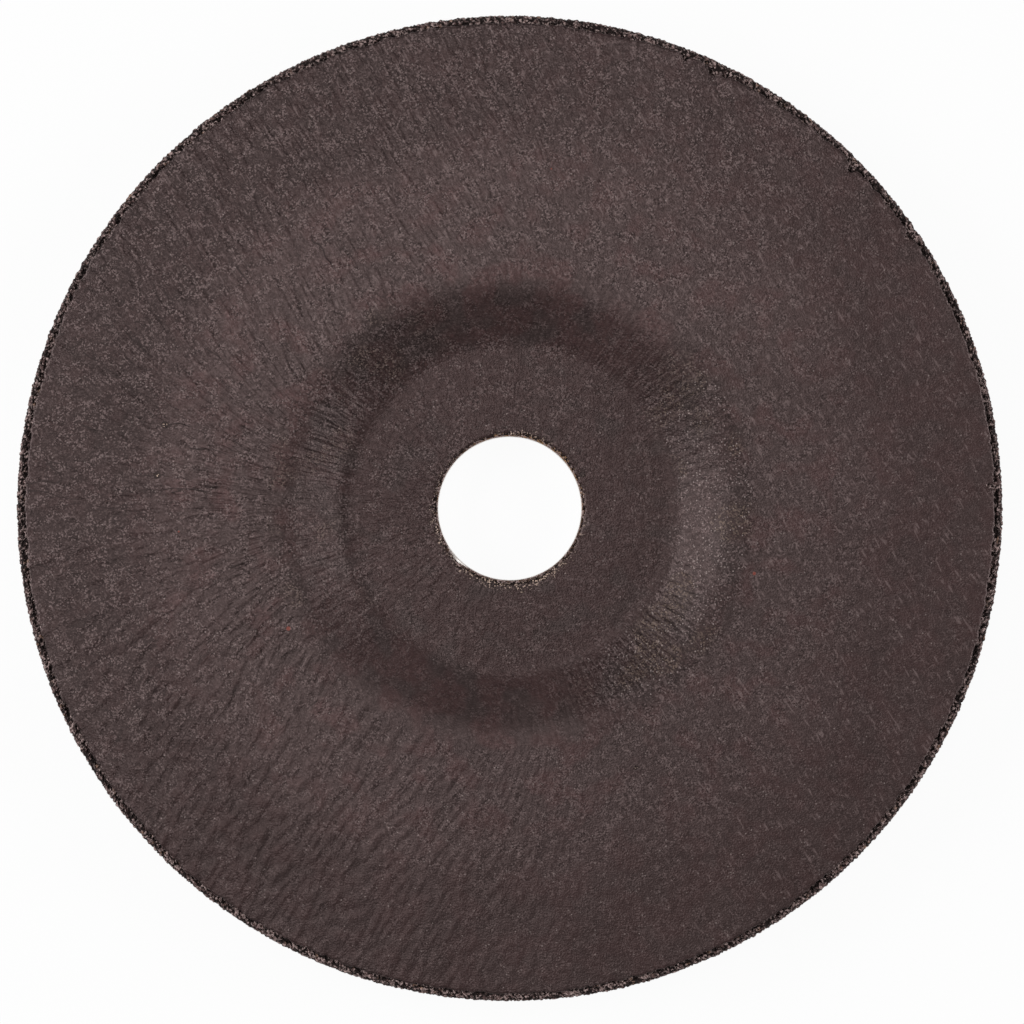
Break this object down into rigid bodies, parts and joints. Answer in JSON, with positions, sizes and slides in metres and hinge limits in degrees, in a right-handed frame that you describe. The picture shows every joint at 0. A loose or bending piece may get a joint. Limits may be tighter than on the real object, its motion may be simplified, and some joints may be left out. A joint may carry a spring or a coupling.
{
  "type": "grinding disc",
  "caption": "Depressed-centre grinding disc: a dark brown bonded abrasive wheel with a dished hub, a bare grit rim and a pressed steel bush in its bore.",
  "frame": {"origin": "centre of the bore at the back of the raised hub, which the disc rests on", "axes": "+Z along the bore axis, towards the hollow grinding side"},
  "size_m": [0.151, 0.151, 0.0106],
  "materials": {
    "abrasive": "dark brown resin-bonded grit under a matt, felt-textured skin",
    "bush_steel": "bright tinned sheet steel"
  },
  "bodies": {
    "root": {"abrasive_body": "abrasive", "bore_ring": "bush_steel"}
  },
  "joints": []
}
